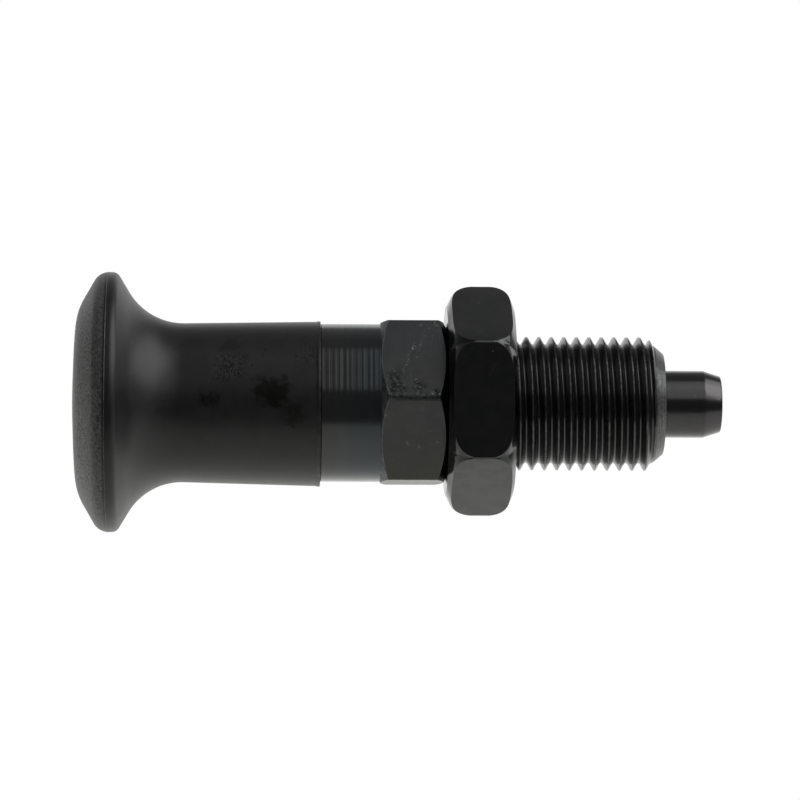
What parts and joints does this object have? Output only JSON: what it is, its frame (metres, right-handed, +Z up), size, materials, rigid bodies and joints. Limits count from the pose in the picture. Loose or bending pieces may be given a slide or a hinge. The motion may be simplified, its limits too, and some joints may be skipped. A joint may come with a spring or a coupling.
{
  "type": "indexing plunger",
  "caption": "Spring-loaded locating pin in a threaded sleeve with hexagon collar, locknut and mushroom pull knob.",
  "frame": {"origin": "on the common axis, at the collar's mounting face", "axes": "+X along the common axis towards the pin's tip, +Z up, -Y faces the viewer"},
  "size_m": [0.0774, 0.0312, 0.0312],
  "materials": {
    "blackened_steel": "blackened, turned and milled, satin",
    "blackened_nut": "blackened, smooth, semi-gloss",
    "hardened_pin": "hardened, ground and blackened",
    "spring_wire": "plain drawn wire",
    "bush_steel": "plain turned",
    "knob_plastic": "moulded, matt crown and satin skirt"
  },
  "bodies": {
    "sleeve": {"plunger_body": "blackened_steel", "rear_bush": "bush_steel"},
    "coil": {"spring": "spring_wire"},
    "plunger": {"indexing_pin": "hardened_pin", "knob": "knob_plastic"},
    "nut": {"locknut": "blackened_nut"}
  },
  "joints": [
    {"name": "pull", "type": "slide", "parent": "sleeve", "child": "coil", "axis": [-1, 0, 0], "range_m": [0, 0.0075], "stiffness_N_per_m": 1330, "springref_m": -0.009, "deforming": ["spring"]},
    {"name": "turn", "type": "hinge", "parent": "coil", "child": "plunger", "pos_m": [0, 0, 0], "axis": [1, 0, 0], "continuous": true},
    {"name": "nut_travel", "type": "slide", "parent": "sleeve", "child": "nut", "axis": [1, 0, 0], "range_m": [0, 0.015]}
  ]
}
